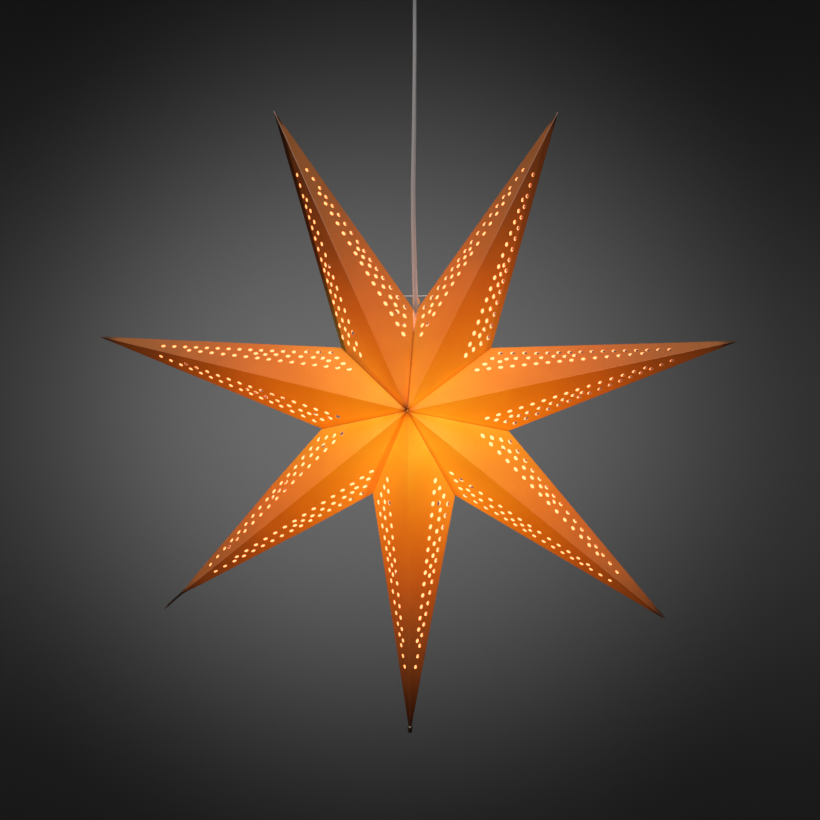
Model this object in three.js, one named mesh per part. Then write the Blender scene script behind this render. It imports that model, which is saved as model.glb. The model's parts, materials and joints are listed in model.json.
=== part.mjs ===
// Lit paper star with seven folded spikes, on a flat cord from a small ceiling cup.
// Millimetres, +Z up, the photographed side faces -Y, origin on top of the ceiling strap.
import * as THREE from "three";

// Driving dimensions

const SPIKES = 7;
const TIP_RADIUS = 322;
const VALLEY_RADIUS = 95;
const HALF_DEPTH = 75;
const DROP = 456;
const LAMP_DROP = 5;
// Degrees that the star leans clockwise on its cord, seen from the front
const LEAN = 0.45;
const PAPER = 0.5;
const GAP = 0.3;
const CORD_WIDTH = 5;
const CORD_THICKNESS = 3;
const BULB_RADIUS = 22.5;
const HOLDER_RADIUS = 14;
const CUP_RADIUS = 33;

// Paper faces: cuts at the corners, and the slit that the cord goes in by

const APEX_CUT = 2.4;
const TIP_CUT = 3;
const SLIT_LENGTH = 26;
const SLIT_CORNER = 5.8;

// Punched holes, in rows along an edge from one share of its length to another, inset from that edge.
// Two rows follow the outline fold from the tip, and one the seam from the valley

const HOLE_RADIUS = 2.3;
const HOLE_SIDES = 4;
const OUTLINE_ROW = { count: 13, startShare: 0.267, endShare: 0.81, inset: 10.6 };
const SHOULDER_ROW = { count: 3, startShare: 0.86, endShare: 0.96, inset: 9 };
const SEAM_ROW = { count: 3, startShare: 0.094, endShare: 0.283, inset: 12 };

// Hanging wire through the two top spikes above the top valley, and the clip that holds it on the cord.
// The clip's heights are measured from the wire

const WIRE_RADIUS = 0.45;
const WIRE_RISE = 16.3;
const WIRE_DEPTH = 3.6;
const WIRE_HALF = 19.5;
const WIRE_HOLE_RADIUS = 1.3;
const WIRE_HOLE_SIDES = 6;
const CLIP = { low: -8.7, shoulder: -1.9, high: 1.3, half: 2.2, reach: 5.2 };

// Tip patches of the bottom spike

const PATCH_LENGTH = 10;
const PATCH_THICKNESS = 0.4;

// Facets

const ROUND = 20;
const SMALL_ROUND = 14;
const CORD_SIDES = 8;
const CORD_STEPS = 40;
const ARC_STEPS = 9;

// Derived

const CENTRE = new THREE.Vector3(0, 0, -DROP);
const LAMP = new THREE.Vector3(0, 0, -DROP - LAMP_DROP);
const WIRE_Z = VALLEY_RADIUS + WIRE_RISE - DROP;
const STEP = (2 * Math.PI) / SPIKES;
const SPIKE_NAMES = ["upper_left", "left", "lower_left", "bottom", "lower_right", "right", "upper_right"];

// Point in the star's plane, by its angle counter-clockwise from the top, seen from the front
function around(radius, angle) {
  const leaning = angle - THREE.MathUtils.degToRad(LEAN);
  return new THREE.Vector3(-radius * Math.sin(leaning), 0, radius * Math.cos(leaning)).add(CENTRE);
}

const FRONT_APEX = new THREE.Vector3(0, -HALF_DEPTH, 0).add(CENTRE);
const BACK_APEX = new THREE.Vector3(0, HALF_DEPTH, 0).add(CENTRE);
const TIPS = Array.from({ length: SPIKES }, (_, k) => around(TIP_RADIUS, (k + 1 / 2) * STEP));
const VALLEYS = Array.from({ length: SPIKES + 1 }, (_, s) => around(VALLEY_RADIUS, s * STEP));

// Materials

function material(name, color, roughness, metalness = 0) {
  return new THREE.MeshStandardMaterial({ name, color, roughness, metalness });
}

const orangePaper = () => material("orange_paper", 0xd96a1e, 0.75);
const tipPaper = () => material("brown_paper", 0x5a2a10, 0.8);
const whitePlastic = () => material("white_plastic", 0xe9e6df, 0.45);
const cordPlastic = () => material("cord_plastic", 0xd8d2c8, 0.5);
const clearPlastic = () => material("amber_plastic", 0xe0a060, 0.35);
const frostedGlass = () => material("frosted_glass", 0xf6ead2, 0.3);
const clearGlass = () => material("clear_glass", 0xe8eef0, 0.1);
const blackGlass = () => material("black_glass", 0x1c1a1a, 0.2);
const brass = () => material("brass", 0xc9a24b, 0.3, 1);
const steel = () => material("steel", 0xb9bcc0, 0.35, 1);
const tungsten = () => material("tungsten", 0x6b6b70, 0.4, 1);

// Helpers

function named(name, geometry, finish) {
  const mesh = new THREE.Mesh(geometry, finish);
  mesh.name = name;
  return mesh;
}

// Solid of revolution about Z from a closed [radius, height] profile
function turned(profile, segments = ROUND) {
  const points = profile.map(([r, z]) => new THREE.Vector2(r, z));
  return new THREE.LatheGeometry(points, segments).rotateX(Math.PI / 2);
}

function ring(inner, outer, low, high) {
  return [[inner, low], [outer, low], [outer, high], [inner, high], [inner, low]];
}

function disc(radius, low, high) {
  return [[0, low], [radius, low], [radius, high], [0, high]];
}

function block(width, depth, height, x, y, z) {
  return new THREE.BoxGeometry(width, depth, height).translate(x, y, z);
}

function circlePath(x, y, radius, sides) {
  const path = new THREE.Path();
  for (let i = 0; i < sides; i += 1) {
    const angle = -(i * 2 * Math.PI) / sides;
    const px = x + radius * Math.cos(angle);
    const py = y + radius * Math.sin(angle);
    if (i === 0) path.moveTo(px, py);
    else path.lineTo(px, py);
  }
  path.closePath();
  return path;
}

// Part of a convex outline on the side of a line that its normal points to
function clipped(points, origin, normal) {
  const out = [];
  const side = (p) => p.clone().sub(origin).dot(normal);
  points.forEach((p, i) => {
    const q = points[(i + 1) % points.length];
    const [a, b] = [side(p), side(q)];
    if (a >= 0) out.push(p);
    if (a * b < 0) out.push(p.clone().lerp(q, a / (a - b)));
  });
  return out;
}

// Distance that two sheets meeting at an angle are each cut back from the crease
function creaseTrim(angle) {
  return PAPER / 2 / Math.tan(angle / 2) + GAP / 2 / Math.sin(angle / 2);
}

// Angle between the two triangles that share an edge
function foldAngle(start, end, first, second) {
  const edge = end.clone().sub(start).normalize();
  const arms = [first, second].map((p) => {
    const arm = p.clone().sub(start);
    return arm.addScaledVector(edge, -arm.dot(edge)).normalize();
  });
  return Math.acos(arms[0].dot(arms[1]));
}

const RIDGE_TRIM = creaseTrim(foldAngle(FRONT_APEX, TIPS[0], VALLEYS[0], VALLEYS[1]));
const SEAM_TRIM = creaseTrim(foldAngle(FRONT_APEX, VALLEYS[1], TIPS[0], TIPS[1]));
const OUTLINE_TRIM = creaseTrim(foldAngle(TIPS[0], VALLEYS[1], FRONT_APEX, BACK_APEX));

// Frame of one face: X along the outline fold from the tip, Y towards the apex
function faceFrame(tip, valley, apex) {
  const x = valley.clone().sub(tip).normalize();
  const arm = apex.clone().sub(tip);
  const y = arm.clone().addScaledVector(x, -arm.dot(x)).normalize();
  const z = new THREE.Vector3().crossVectors(x, y);
  const corners = {
    tip: new THREE.Vector2(0, 0),
    valley: new THREE.Vector2(valley.distanceTo(tip), 0),
    apex: new THREE.Vector2(arm.dot(x), arm.dot(y)),
  };
  return { x, y, z, corners };
}

function towards(from, to) {
  return to.clone().sub(from).normalize();
}

// Inward normal of an edge of the flat triangle, seen from its third corner
function inward(start, end, third) {
  const edge = towards(start, end);
  const normal = new THREE.Vector2(-edge.y, edge.x);
  return normal.dot(third.clone().sub(start)) > 0 ? normal : normal.negate();
}

function faceOutline(corners, atSlit) {
  const { tip, valley, apex } = corners;
  let outline = [tip, valley, apex];
  const cut = (start, end, third, trim) => {
    const normal = inward(start, end, third);
    outline = clipped(outline, start.clone().addScaledVector(normal, trim), normal);
  };
  cut(tip, valley, apex, OUTLINE_TRIM);
  cut(tip, apex, valley, RIDGE_TRIM);
  cut(apex, valley, tip, SEAM_TRIM);
  const blunt = (corner, one, two, length) => {
    const normal = towards(corner, one).add(towards(corner, two)).normalize();
    outline = clipped(outline, corner.clone().addScaledVector(normal, length), normal);
  };
  blunt(apex, tip, valley, APEX_CUT);
  blunt(tip, apex, valley, TIP_CUT);
  if (atSlit) {
    const onSeam = valley.clone().addScaledVector(towards(valley, apex), SLIT_LENGTH);
    const onOutline = valley.clone().addScaledVector(towards(valley, tip), SLIT_CORNER);
    outline = clipped(outline, onSeam, inward(onSeam, onOutline, tip));
  }
  return outline;
}

// Centres of a row of holes along the edge from start to end
function holeRow(start, end, third, { count, startShare, endShare, inset }) {
  const normal = inward(start, end, third);
  return Array.from({ length: count }, (_, i) => {
    const share = startShare + ((endShare - startShare) * i) / (count - 1);
    return start.clone().lerp(end, share).addScaledVector(normal, inset);
  });
}

// Place on the back face next to the top slit where the hanging wire goes through
function wireHole(frame, tip) {
  const { x, y } = frame;
  const det = x.y * y.z - x.z * y.y;
  const dy = WIRE_DEPTH - tip.y;
  const dz = WIRE_Z - tip.z;
  return new THREE.Vector2(dy * y.z - dz * y.y, x.y * dz - x.z * dy).divideScalar(det);
}

function faceMesh(name, tip, valley, apex, { back, atSlit }) {
  const frame = faceFrame(tip, valley, apex);
  const shape = new THREE.Shape(faceOutline(frame.corners, atSlit));
  const { tip: t, valley: v, apex: a } = frame.corners;
  const holes = [
    ...holeRow(t, v, a, OUTLINE_ROW), ...holeRow(t, v, a, SHOULDER_ROW), ...holeRow(v, a, t, SEAM_ROW),
  ];
  holes.forEach((hole) => shape.holes.push(circlePath(hole.x, hole.y, HOLE_RADIUS, HOLE_SIDES)));
  if (back && atSlit) {
    const hole = wireHole(frame, tip);
    shape.holes.push(circlePath(hole.x, hole.y, WIRE_HOLE_RADIUS, WIRE_HOLE_SIDES));
  }
  const sheet = new THREE.ExtrudeGeometry(shape, { depth: PAPER, bevelEnabled: false, curveSegments: 1 });
  sheet.translate(0, 0, -PAPER / 2);
  const mesh = named(name, sheet, orangePaper());
  mesh.quaternion.setFromRotationMatrix(new THREE.Matrix4().makeBasis(frame.x, frame.y, frame.z));
  mesh.position.copy(tip);
  return mesh;
}

function makeSpike(k) {
  const spike = new THREE.Group();
  spike.name = `${SPIKE_NAMES[k]}_spike`;
  [0, 1].forEach((half) => {
    const seam = k + half;
    const atSlit = seam === 0 || seam === SPIKES;
    [["front", FRONT_APEX], ["back", BACK_APEX]].forEach(([side, apex]) => {
      const name = `${SPIKE_NAMES[k]}_spike_${side}_face_${half + 1}`;
      spike.add(faceMesh(name, TIPS[k], VALLEYS[seam], apex, { back: side === "back", atSlit }));
    });
  });
  return spike;
}

// Doubled paper on the front faces at the bottom tip
function makeTipPatches() {
  const group = new THREE.Group();
  const k = SPIKE_NAMES.indexOf("bottom");
  [0, 1].forEach((half) => {
    const frame = faceFrame(TIPS[k], VALLEYS[k + half], FRONT_APEX);
    const { tip, valley, apex } = frame.corners;
    const along = towards(tip, valley).add(towards(tip, apex)).normalize();
    let outline = faceOutline(frame.corners, false);
    const end = tip.clone().addScaledVector(along, PATCH_LENGTH);
    outline = clipped(outline, end, along.clone().negate());
    const depth = PATCH_THICKNESS;
    const sheet = new THREE.ExtrudeGeometry(new THREE.Shape(outline), { depth, bevelEnabled: false });
    const outside = frame.z.y < 0 ? 1 : -1;
    sheet.translate(0, 0, outside * (PAPER / 2 + GAP / 2 + depth / 2) - depth / 2);
    const mesh = named(`bottom_tip_patch_${half + 1}`, sheet, tipPaper());
    mesh.quaternion.setFromRotationMatrix(new THREE.Matrix4().makeBasis(frame.x, frame.y, frame.z));
    mesh.position.copy(TIPS[k]);
    group.add(mesh);
  });
  return group;
}

// Lampholder, heights above the lamp's own origin

const HOLDER = { low: 24, deck: 54, split: 56, shoulder: 63, top: 72, wall: 1.6, cordHole: 3.2 };
const SOCKET = { radius: 7.3, wall: 0.5, low: 27, high: 44 };
const BUSH = { radius: 5.2, high: 80 };

function makeLampholder() {
  const group = new THREE.Group();
  group.position.copy(LAMP);
  const { low, deck, split, shoulder, top, wall, cordHole } = HOLDER;
  const inner = HOLDER_RADIUS - wall;
  const skirt = [
    [inner, low], [HOLDER_RADIUS, low], [HOLDER_RADIUS, split], [cordHole, split], [cordHole, deck],
    [inner, deck], [inner, low],
  ];
  group.add(named("lampholder_skirt", turned(skirt), whitePlastic()));
  const cap = [
    [inner, split + GAP], [HOLDER_RADIUS, split + GAP], [HOLDER_RADIUS, shoulder], [BUSH.radius + wall, top],
    [cordHole, top], [cordHole, top - wall], [BUSH.radius, top - wall], [inner, shoulder - wall],
    [inner, split + GAP],
  ];
  group.add(named("lampholder_cap", turned(cap), whitePlastic()));
  const insert = ring(cordHole, inner - GAP, SOCKET.high + GAP, deck - GAP);
  group.add(named("lampholder_insert", turned(insert), whitePlastic()));
  const sleeve = ring(SOCKET.radius, SOCKET.radius + SOCKET.wall, SOCKET.low, SOCKET.high);
  group.add(named("threaded_socket_sleeve", turned(sleeve), brass()));
  const contactLow = SOCKET.high - GAP;
  const tab = disc(cordHole - GAP, contactLow, contactLow + 2 * GAP);
  group.add(named("centre_contact", turned(tab, SMALL_ROUND), brass()));
  const strip = SOCKET.wall;
  const stripX = SOCKET.radius + SOCKET.wall + GAP + strip / 2;
  const stripLow = (SOCKET.low + SOCKET.high) / 2;
  const stripHeight = SOCKET.high - stripLow;
  const side = block(strip, cordHole, stripHeight, stripX, 0, stripLow + stripHeight / 2);
  group.add(named("side_contact", side, brass()));
  const bush = ring(cordHole, BUSH.radius, top + GAP, BUSH.high);
  group.add(named("lampholder_cord_bush", turned(bush, SMALL_ROUND), whitePlastic()));
  return group;
}

// Bulb, heights above the lamp's own origin

const BULB = {
  centre: -10, neck: 24, neckRadius: 6.4, glass: 0.8, shellRadius: 6.9, shellHigh: 40, coneHigh: 41.8, tipHigh: 43.3,
};

function makeBulb() {
  const group = new THREE.Group();
  group.position.copy(LAMP);
  const { centre, neck, neckRadius, glass, shellRadius, shellHigh, coneHigh, tipHigh } = BULB;
  const arc = (radius, from, to, steps) => Array.from({ length: steps + 1 }, (_, i) => {
    const angle = from + ((to - from) * i) / steps;
    return [radius * Math.cos(angle), centre + radius * Math.sin(angle)];
  });
  const shoulder = Math.PI / 4;
  const outside = arc(BULB_RADIUS, -Math.PI / 2, shoulder, ARC_STEPS);
  const inside = arc(BULB_RADIUS - glass, shoulder, -Math.PI / 2, ARC_STEPS);
  outside[0][0] = 0;
  inside[ARC_STEPS][0] = 0;
  const halfNeck = (neck + centre + BULB_RADIUS * Math.sin(shoulder)) / 2;
  const bend = neckRadius + glass * 3;
  const profile = [
    ...outside, [bend, halfNeck], [neckRadius, neck], [neckRadius - glass, neck], [bend - glass, halfNeck],
    ...inside,
  ];
  group.add(named("bulb_glass", turned(profile), frostedGlass()));
  const shell = ring(shellRadius - glass / 2, shellRadius, neck + GAP, shellHigh);
  group.add(named("bulb_screw_shell", turned(shell), brass()));
  const insulator = [
    [0, shellHigh + GAP], [shellRadius - glass, shellHigh + GAP], [shellRadius / 2, coneHigh], [0, coneHigh],
  ];
  group.add(named("bulb_insulator", turned(insulator, SMALL_ROUND), blackGlass()));
  const contact = disc(shellRadius / 3, coneHigh + GAP, tipHigh);
  group.add(named("bulb_tip_contact", turned(contact, SMALL_ROUND), steel()));
  const stemLow = centre + BULB_RADIUS / 2;
  const flare = neckRadius - glass - GAP;
  const stemRadius = neckRadius / 3;
  const stem = [[0, stemLow], [stemRadius, stemLow], [stemRadius, neck - flare], [flare, neck], [0, neck]];
  group.add(named("bulb_stem", turned(stem, SMALL_ROUND), clearGlass()));
  const spread = BULB_RADIUS / 3;
  const lead = stemRadius / 2;
  const half = [
    [lead, stemLow - GAP], [spread, centre + spread / 2], [spread * 0.8, centre], [spread / 2, centre - glass / 2],
  ];
  const route = [...half.map(([x, z]) => [-x, z]), [0, centre], ...half.reverse()];
  const curve = new THREE.CatmullRomCurve3(route.map(([x, z]) => new THREE.Vector3(x, 0, z)), false, "centripetal");
  group.add(named("bulb_filament_and_leads", tube(curve, GAP, 6, 2 * ARC_STEPS), tungsten()));
  return group;
}

// Round rod swept along a curve
function tube(curve, radius, sides, steps) {
  const section = new THREE.Shape(Array.from({ length: sides }, (_, i) => {
    const angle = (i * 2 * Math.PI) / sides;
    return new THREE.Vector2(radius * Math.cos(angle), radius * Math.sin(angle));
  }));
  return new THREE.ExtrudeGeometry(section, { steps, extrudePath: curve, bevelEnabled: false });
}

// Cord, hanging wire and clip

// Sideways sway of the cord and height above the star's centre, between the slit and the cup's slide
const CORD_WAVE = [
  [0, 75], [1.15, 90], [1.15, 101], [0.5, 118], [-0.5, 150], [-1.3, 190], [-1.4, 225], [-0.6, 280], [-0.25, 325],
];

function makeCord() {
  const inHolder = (HOLDER.split + HOLDER.shoulder) / 2 - LAMP_DROP;
  const inBush = DROP + CUP_BUSH.low;
  const route = [[0, inHolder], ...CORD_WAVE, [0, inBush - 66], [0, inBush], [0, DROP + TERMINAL.low - GAP]];
  const points = route.map(([x, z]) => new THREE.Vector3(x, 0, z - DROP));
  const curve = new THREE.CatmullRomCurve3(points, false, "centripetal");
  const section = new THREE.Shape(Array.from({ length: CORD_SIDES }, (_, i) => {
    const angle = ((i + 1 / 2) * 2 * Math.PI) / CORD_SIDES;
    const reach = 1 / Math.cos(Math.PI / CORD_SIDES);
    const [x, y] = [Math.cos(angle) * reach, Math.sin(angle) * reach];
    return new THREE.Vector2((x * CORD_THICKNESS) / 2, (y * CORD_WIDTH) / 2);
  }));
  const options = { steps: CORD_STEPS, extrudePath: curve, bevelEnabled: false };
  return named("flat_cord", new THREE.ExtrudeGeometry(section, options), cordPlastic());
}

function makeWire() {
  const rod = new THREE.CylinderGeometry(WIRE_RADIUS, WIRE_RADIUS, 2 * WIRE_HALF, CORD_SIDES);
  rod.rotateZ(Math.PI / 2).translate(0, WIRE_DEPTH, WIRE_Z);
  return named("hanging_wire", rod, steel());
}

// Flat clip between the cord and the wire, with a tab beside the cord
function makeClip() {
  const { low, shoulder, high, half, reach } = CLIP;
  const outline = [[-half, low], [reach, low], [reach, shoulder], [half, shoulder], [half, high], [-half, high]];
  const front = CORD_THICKNESS / 2 + GAP;
  const depth = WIRE_DEPTH - WIRE_RADIUS - GAP - front;
  const shape = new THREE.Shape(outline.map(([x, z]) => new THREE.Vector2(x, z + WIRE_Z)));
  const plate = new THREE.ExtrudeGeometry(shape, { depth, bevelEnabled: false });
  plate.rotateX(Math.PI / 2).translate(0, front + depth, 0);
  return named("cord_clip", plate, clearPlastic());
}

// Ceiling fitting, heights from the ceiling down

const STRAP = { width: 16, thickness: 2, clearance: 2.3, holeInset: 8, holeRadius: 2.2 };
const CUP = { rim: -0.5, band: -7, waist: -20, bottom: -31, wall: 1.6, bushHole: 5.3 };
const CUP_BUSH = { high: -26, low: -38, flange: 8, flangeHigh: -31.3, radius: 5, cordHole: 2.85 };
const TERMINAL = { width: 16, depth: 9, low: -14, screwRadius: 1.6, screwOut: 1.4 };

function makeStrap() {
  const { width, thickness, clearance, holeInset, holeRadius } = STRAP;
  const y = width / 2;
  const x = Math.sqrt((CUP_RADIUS - CUP.wall - clearance) ** 2 - y ** 2);
  const shape = new THREE.Shape([[-x, -y], [x, -y], [x, y], [-x, y]].map(([a, b]) => new THREE.Vector2(a, b)));
  [-1, 1].forEach((s) => shape.holes.push(circlePath(s * (x - holeInset), 0, holeRadius, ROUND)));
  const plate = new THREE.ExtrudeGeometry(shape, { depth: thickness, bevelEnabled: false });
  return named("ceiling_strap", plate.translate(0, 0, -thickness), steel());
}

function makeTerminals() {
  const group = new THREE.Group();
  const { width, depth, low, screwRadius, screwOut } = TERMINAL;
  const high = -STRAP.thickness - GAP;
  group.add(named("terminal_block", block(width, depth, high - low, 0, 0, (high + low) / 2), whitePlastic()));
  [-1, 1].forEach((s, i) => {
    const screw = new THREE.CylinderGeometry(screwRadius, screwRadius, screwOut, SMALL_ROUND);
    screw.translate((s * width) / 4, -depth / 2 - GAP - screwOut / 2, (high + low) / 2);
    group.add(named(`terminal_screw_${i + 1}`, screw, brass()));
  });
  return group;
}

function makeCup() {
  const group = new THREE.Group();
  const { rim, band, waist, bottom, wall, bushHole } = CUP;
  const inner = CUP_RADIUS - wall;
  const shrink = (CUP_RADIUS * 5) / 6;
  const profile = [
    [inner, rim], [inner, band], [shrink - wall, waist], [bushHole + 2 * wall, bottom + wall],
    [bushHole, bottom + wall], [bushHole, bottom], [bushHole + 2 * wall, bottom], [shrink, waist],
    [CUP_RADIUS, band], [CUP_RADIUS, rim], [inner, rim],
  ];
  group.add(named("ceiling_cup", turned(profile), whitePlastic()));
  const { high, low, flange, flangeHigh, radius, cordHole } = CUP_BUSH;
  const bush = [
    [cordHole, low], [radius, low], [flange, (low + flangeHigh) / 2], [flange, flangeHigh], [radius, flangeHigh],
    [radius, high], [cordHole, high], [cordHole, low],
  ];
  group.add(named("cup_cord_bush", turned(bush, SMALL_ROUND), whitePlastic()));
  return group;
}

const star = new THREE.Group();
star.name = "christmas_star";
star.add(makeStrap(), makeTerminals(), makeCup());
star.add(makeCord(), makeClip(), makeWire(), makeLampholder(), makeBulb());
for (let k = 0; k < SPIKES; k += 1) star.add(makeSpike(k));
star.add(makeTipPatches());

export default star;
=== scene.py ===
"""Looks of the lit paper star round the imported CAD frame: punched paper, lamp, cord and ceiling fitting."""

import json
import math
from contextlib import contextmanager

import bmesh
import bpy
import numpy as np
from mathutils import Matrix, Vector, geometry, noise

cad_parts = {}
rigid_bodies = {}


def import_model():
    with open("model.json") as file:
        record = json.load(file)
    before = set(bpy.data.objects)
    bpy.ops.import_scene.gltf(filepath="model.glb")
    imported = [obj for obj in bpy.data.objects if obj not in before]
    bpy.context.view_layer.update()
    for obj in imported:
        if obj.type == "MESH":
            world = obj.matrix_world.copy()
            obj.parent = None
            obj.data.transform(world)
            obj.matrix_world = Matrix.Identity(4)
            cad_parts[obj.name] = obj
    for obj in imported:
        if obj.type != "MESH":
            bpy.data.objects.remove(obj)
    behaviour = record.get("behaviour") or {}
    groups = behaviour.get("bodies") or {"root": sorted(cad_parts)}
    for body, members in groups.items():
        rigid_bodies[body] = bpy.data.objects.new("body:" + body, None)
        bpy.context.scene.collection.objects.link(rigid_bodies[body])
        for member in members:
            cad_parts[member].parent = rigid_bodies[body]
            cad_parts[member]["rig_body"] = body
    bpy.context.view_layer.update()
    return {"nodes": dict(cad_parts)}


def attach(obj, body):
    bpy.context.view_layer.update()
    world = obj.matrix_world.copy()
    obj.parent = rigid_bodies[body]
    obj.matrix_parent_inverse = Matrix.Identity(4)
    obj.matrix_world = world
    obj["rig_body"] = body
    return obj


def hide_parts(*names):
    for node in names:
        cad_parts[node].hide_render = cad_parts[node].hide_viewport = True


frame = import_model()

# Sizes in millimetres, as in the part's source

MM = 0.001
SPIKES = 7
TIP_RADIUS = 322.0
VALLEY_RADIUS = 95.0
HALF_DEPTH = 75.0
DROP = 456.0
LAMP_DROP = 5.0
LEAN = 0.45
PAPER = 0.5
CORD_WIDTH = 5.0
CORD_THICKNESS = 3.0
STEP = 2 * math.pi / SPIKES
CENTRE = Vector((0, 0, -DROP))
LAMP = Vector((0, 0, -DROP - LAMP_DROP))
SPIKE_NAMES = ["upper_left", "left", "lower_left", "bottom", "lower_right", "right", "upper_right"]


def clamp(value):
    return max(0.0, min(1.0, value))


def circle(radius, count):
    angles = [2 * math.pi * i / count for i in range(count)]
    return [Vector((math.cos(a), math.sin(a))) * radius for a in angles]


def around(radius, angle):
    leaning = angle - math.radians(LEAN)
    return Vector((-radius * math.sin(leaning), 0, radius * math.cos(leaning))) + CENTRE


FRONT_APEX = CENTRE + Vector((0, -HALF_DEPTH, 0))
BACK_APEX = CENTRE + Vector((0, HALF_DEPTH, 0))
TIPS = [around(TIP_RADIUS, (k + 0.5) * STEP) for k in range(SPIKES)]
VALLEYS = [around(VALLEY_RADIUS, s * STEP) for s in range(SPIKES + 1)]

# Camera, fitted to the spike tips and valleys of the photograph

CAMERA = {"distance": 2500.0, "azimuth": 5.35, "elevation": 1.87, "target": (-4.56, 0.0, -1.51)}
PIXELS_PER_RADIAN = 2527.5
IMAGE_WIDTH = 820
SENSOR = 36


def make_camera():
    azimuth, elevation = (math.radians(CAMERA[k]) for k in ("azimuth", "elevation"))
    level = math.cos(elevation)
    back = Vector((math.sin(azimuth) * level, -math.cos(azimuth) * level, math.sin(elevation)))
    right = (-back).cross(Vector((0, 0, 1))).normalized()
    up = right.cross(-back)
    place = CENTRE + Vector(CAMERA["target"]) + back * CAMERA["distance"]
    data = bpy.data.cameras.new("camera")
    data.sensor_width = SENSOR
    data.lens = SENSOR * PIXELS_PER_RADIAN / IMAGE_WIDTH
    data.clip_start, data.clip_end = 0.05, 60
    cam = bpy.data.objects.new("camera", data)
    bpy.context.scene.collection.objects.link(cam)
    rotation = Matrix((right, up, back)).transposed().to_4x4()
    cam.matrix_world = Matrix.Translation(place * MM) @ rotation
    bpy.context.scene.camera = cam


make_camera()

# Node helpers

NOISE_RANGE = (0.3, 0.7)


class Graph:
    """A material's node tree, built by short calls."""

    def __init__(self, name):
        self.material = bpy.data.materials.new(name)
        self.material.use_nodes = True
        self.tree = self.material.node_tree
        self.tree.nodes.clear()
        self.out = self.node("ShaderNodeOutputMaterial")
        self.shader = self.node("ShaderNodeBsdfPrincipled")
        self.link(self.shader.outputs[0], self.out.inputs["Surface"])

    def node(self, kind, **values):
        made = self.tree.nodes.new(kind)
        for key, value in values.items():
            setattr(made, key, value)
        return made

    def link(self, source, target):
        self.tree.links.new(source, target)

    def feed(self, target, value):
        if isinstance(value, bpy.types.NodeSocket):
            self.link(value, target)
        else:
            target.default_value = value

    def math(self, operation, a, b=0.0, c=0.0):
        made = self.node("ShaderNodeMath", operation=operation)
        for target, value in zip(made.inputs, (a, b, c)):
            self.feed(target, value)
        return made.outputs[0]

    def times(self, first, *rest):
        for value in rest:
            first = self.math("MULTIPLY", first, value)
        return first

    def kept_back(self, share, amount):
        """Light left when amount of it is kept back where share is 0 and none where it is 1."""
        return self.math("MULTIPLY_ADD", self.math("SUBTRACT", share, 1.0), amount, 1.0)

    def attribute(self, name):
        return self.node("ShaderNodeAttribute", attribute_name=name).outputs["Fac"]

    def place(self):
        return self.node("ShaderNodeTexCoord").outputs["Object"]

    def distance(self, point):
        """Distance in metres from a point given in millimetres."""
        made = self.node("ShaderNodeVectorMath", operation="DISTANCE")
        self.link(self.place(), made.inputs[0])
        made.inputs[1].default_value = point * MM
        return made.outputs["Value"]

    def stretched(self, scale):
        mapping = self.node("ShaderNodeMapping")
        self.link(self.place(), mapping.inputs["Vector"])
        mapping.inputs["Scale"].default_value = scale
        return mapping.outputs[0]

    def noise(self, scale, detail=3.0, rough=0.5, vector=None):
        made = self.node("ShaderNodeTexNoise")
        self.link(vector or self.place(), made.inputs["Vector"])
        made.inputs["Scale"].default_value = scale
        made.inputs["Detail"].default_value = detail
        made.inputs["Roughness"].default_value = rough
        return made.outputs["Fac"]

    def span(self, value, a, b, low, high, smooth=False):
        made = self.node("ShaderNodeMapRange")
        made.interpolation_type = "SMOOTHSTEP" if smooth else "LINEAR"
        self.feed(made.inputs["Value"], value)
        for key, number in zip(("From Min", "From Max", "To Min", "To Max"), (a, b, low, high)):
            made.inputs[key].default_value = number
        return made.outputs["Result"]

    def varied(self, noise, low, high):
        """Noise brought from its usual range to low and high."""
        return self.span(noise, *NOISE_RANGE, low, high)

    def two_tone(self, noise, dark, pale):
        return self.ramp(noise, list(zip(NOISE_RANGE, (dark, pale))))

    def ramp(self, value, stops):
        made = self.node("ShaderNodeValToRGB")
        bar = made.color_ramp
        while len(bar.elements) < len(stops):
            bar.elements.new(1.0)
        for element, (place, colour) in zip(bar.elements, stops):
            element.position = place
            element.color = (*colour, 1)
        self.feed(made.inputs["Fac"], value)
        return made.outputs["Color"]

    def mix(self, factor, a, b, blend="MIX"):
        made = self.node("ShaderNodeMix", data_type="RGBA", blend_type=blend)
        self.feed(made.inputs[0], factor)
        self.feed(made.inputs[6], a if isinstance(a, bpy.types.NodeSocket) else (*a, 1))
        self.feed(made.inputs[7], b if isinstance(b, bpy.types.NodeSocket) else (*b, 1))
        return made.outputs[2]

    def scaled(self, colour, factor):
        made = self.node("ShaderNodeVectorMath", operation="SCALE")
        self.feed(made.inputs[0], colour)
        self.feed(made.inputs["Scale"], factor)
        return made.outputs[0]

    def bump(self, height, strength, distance):
        made = self.node("ShaderNodeBump")
        self.link(height, made.inputs["Height"])
        made.inputs["Strength"].default_value = strength
        made.inputs["Distance"].default_value = distance
        self.link(made.outputs[0], self.shader.inputs["Normal"])

    def set(self, **values):
        for key, value in values.items():
            self.feed(self.shader.inputs[key.replace("_", " ")], value)

    def glow(self, colour, strength=1.0):
        self.set(Emission_Color=colour, Emission_Strength=strength)


# Plain materials: base colour with soft variation, roughness variation and a fine surface relief


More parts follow.
